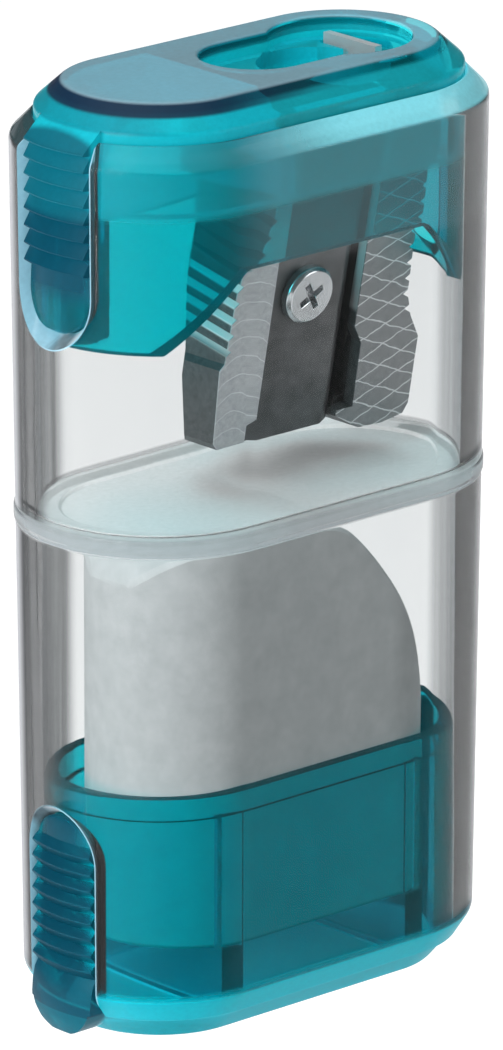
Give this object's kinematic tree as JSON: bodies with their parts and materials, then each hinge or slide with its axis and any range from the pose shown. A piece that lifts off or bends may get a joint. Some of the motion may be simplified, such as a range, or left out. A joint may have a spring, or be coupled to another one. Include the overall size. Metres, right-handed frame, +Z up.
{
  "type": "pencil sharpener with eraser",
  "caption": "Handheld pencil sharpener in a translucent cap on a clear obround shavings case, with a block eraser in a pull-out translucent holder below.",
  "frame": {"origin": "centre of the base face that the eraser holder stands on", "axes": "+Z up, from the eraser holder to the cap; +X along the wide faces, towards the pencil hole; the blade faces -Y"},
  "size_m": [0.0356, 0.0198, 0.0647],
  "materials": {
    "teal_plastic": "translucent, polished",
    "clear_plastic": "clear, polished",
    "sharpener_metal": "cast and milled light alloy",
    "blade_steel": "ground carbon steel",
    "screw_steel": "nickel plated",
    "eraser_rubber": "smooth matt"
  },
  "bodies": {
    "case": {"clear_housing": "clear_plastic"},
    "cap_unit": {"cap": "teal_plastic", "sharpener_body": "sharpener_metal", "blade": "blade_steel"},
    "screw": {"blade_screw": "screw_steel"},
    "eraser_unit": {"eraser_holder": "teal_plastic", "eraser": "eraser_rubber"}
  },
  "joints": [
    {"name": "cap_pull", "type": "slide", "parent": "case", "child": "cap_unit", "axis": [0, 0, 1], "range_m": [0, 0.03]},
    {"name": "holder_pull", "type": "slide", "parent": "case", "child": "eraser_unit", "axis": [0, 0, -1], "range_m": [0, 0.034]},
    {"name": "screw_turn", "type": "hinge", "parent": "cap_unit", "child": "screw", "pos_m": [0.00155, -0.00239, 0.049], "axis": [0, -0.9816, -0.1908], "continuous": true}
  ]
}
